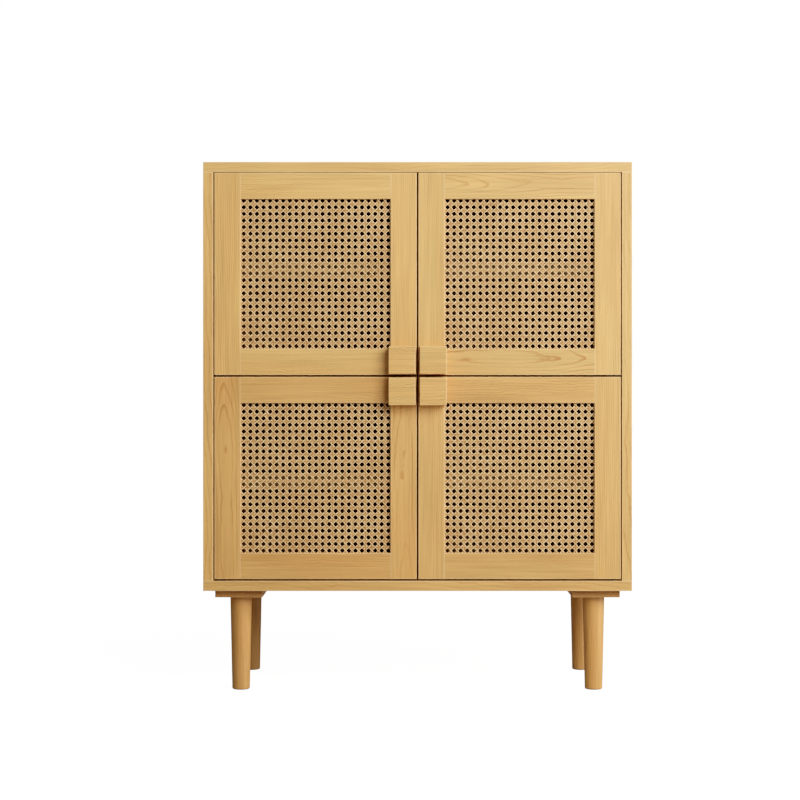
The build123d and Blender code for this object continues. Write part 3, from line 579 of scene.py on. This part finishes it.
CANE_PAIR = cane_material("cane_pairs", colour(222, 173, 112), colour(178, 120, 62))
CANE_DIAGONAL = cane_material("cane_diagonals", colour(252, 224, 172), colour(222, 178, 120))
for door in DOORS:
    low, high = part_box(f"{door}_cane_panel")
    reach = (high - low) / 2
    mesh = cane_mesh(f"{door}_woven_cane", (-reach.x, -reach.z), (reach.x, reach.z))
    mesh.materials.append(CANE_PAIR)
    mesh.materials.append(CANE_DIAGONAL)
    woven = bpy.data.objects.new(f"{door}_woven_cane", mesh)
    woven.location = (low + high) / 2
    bpy.context.scene.collection.objects.link(woven)
    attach(woven, f"door_{door}")
    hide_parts(f"{door}_cane_panel")


# ---------------------------------------------------------------- studio
WHITE = 2.0              # the scene brightness shown as pure white
FLOOR_SIZE = 60.0
FLOOR_GLOW = 1.88        # near the object, where its shadow shows faintly
FLOOR_SHARE = 0.22       # of the light on it that the camera sees
FLOOR_NEAR = 0.9
FLOOR_FAR = 2.6
FLOOR_BOUNCE = (0.42, 0.39, 0.35, 1.0)
SKY_COLOUR = (1.0, 0.98, 0.95, 1.0)
SKY_STRENGTH = 0.17
LIGHTS = {               # place, target, width, height and watts
    "key": ((1.76, -2.60, 2.00), (0.0, -0.18, 0.6), 2.5, 2.4, 178.0),
    "side_rim": ((2.4, -0.30, 0.70), (0.3, -0.10, 0.35), 1.4, 1.4, 34.0),
    "back_fill": ((-1.8, 2.4, 1.6), (0.0, 0.0, 0.5), 1.6, 1.6, 30.0),
}


def floor_material():
    """Near white with faint shadows to the camera, and a mid grey for the light it throws back."""
    material = bpy.data.materials.new("pale_floor")
    graph = empty_graph(material)
    shown = graph.add("ShaderNodeBsdfDiffuse")
    graph.feed(shown.inputs["Color"], (FLOOR_SHARE, FLOOR_SHARE, FLOOR_SHARE, 1.0))
    glow = graph.add("ShaderNodeEmission")
    distance = graph.vector("LENGTH", graph.position())
    graph.feed(glow.inputs["Strength"], graph.smooth(distance, FLOOR_NEAR, FLOOR_FAR, FLOOR_GLOW, WHITE))
    pale = graph.add("ShaderNodeAddShader")
    graph.feed(pale.inputs[0], shown.outputs[0])
    graph.feed(pale.inputs[1], glow.outputs[0])
    bounce = graph.add("ShaderNodeBsdfDiffuse")
    graph.feed(bounce.inputs["Color"], FLOOR_BOUNCE)
    graph.seen_and_lit("ShaderNodeOutputMaterial", seen=pale, lit=bounce)
    return material


def pale_floor():
    mesh = bpy.data.meshes.new("studio_floor")
    half = FLOOR_SIZE / 2
    corners = [(-half, -half, 0), (half, -half, 0), (half, half, 0), (-half, half, 0)]
    mesh.from_pydata(corners, [], [(0, 1, 2, 3)])
    floor = bpy.data.objects.new("studio_floor", mesh)
    bpy.context.scene.collection.objects.link(floor)
    mesh.materials.append(floor_material())


def area_light(name, place, target, width, height, power):
    """A broad lamp that the camera doesn't see."""
    data = bpy.data.lights.new(name, "AREA")
    data.shape = "RECTANGLE"
    data.size = width
    data.size_y = height
    data.energy = power
    light = bpy.data.objects.new(name, data)
    light.location = place
    light.rotation_euler = (Vector(target) - Vector(place)).to_track_quat("-Z", "Y").to_euler()
    light.visible_camera = False
    bpy.context.scene.collection.objects.link(light)


def surround():
    """A white backdrop to the camera, and a dim warm sky for the object."""
    world = bpy.data.worlds.new("studio")
    bpy.context.scene.world = world
    graph = empty_graph(world)
    seen = graph.add("ShaderNodeBackground")
    graph.feed(seen.inputs["Color"], (1.0, 1.0, 1.0, 1.0))
    graph.feed(seen.inputs["Strength"], WHITE)
    lit = graph.add("ShaderNodeBackground")
    graph.feed(lit.inputs["Color"], SKY_COLOUR)
    graph.feed(lit.inputs["Strength"], SKY_STRENGTH)
    graph.seen_and_lit("ShaderNodeOutputWorld", seen=seen, lit=lit)


pale_floor()
for name, settings in LIGHTS.items():
    area_light(name, *settings)
surround()

# ---------------------------------------------------------------- camera
CAMERA_OFFSET_X = -0.0327
CAMERA_HEIGHT = 0.5462
CAMERA_DISTANCE = 3.719  # from the carcass's front
LENS = 89.78
SENSOR = 36.0
TOE = 0.02
CURVE_POINTS = (0.004, 0.01, 0.02, 0.035, 0.06, 0.1, 0.16, 0.25, 0.36, 0.5, 0.7, 0.85)    # shares of WHITE


def place_camera():
    data = bpy.data.cameras.new("camera")
    data.lens = LENS
    data.sensor_width = SENSOR
    camera = bpy.data.objects.new("camera", data)
    front_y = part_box("side_panel_left")[0].y
    camera.location = (CAMERA_OFFSET_X, front_y - CAMERA_DISTANCE, CAMERA_HEIGHT)
    camera.rotation_euler = (math.pi / 2, 0.0, 0.0)
    bpy.context.scene.collection.objects.link(camera)
    bpy.context.scene.camera = camera


def tone_curve():
    """A short toe and a soft shoulder, so that shadows are deep and warm and highlights pale."""
    view = bpy.context.scene.view_settings
    view.view_transform = "Standard"
    view.use_curve_mapping = True
    mapping = view.curve_mapping
    mapping.white_level = (WHITE, WHITE, WHITE)
    combined = mapping.curves[3]
    for share in CURVE_POINTS:
        light = share * WHITE
        light = light * light / (light + TOE)
        combined.points.new(share, light / (1 + light / WHITE))
    mapping.update()


place_camera()
tone_curve()
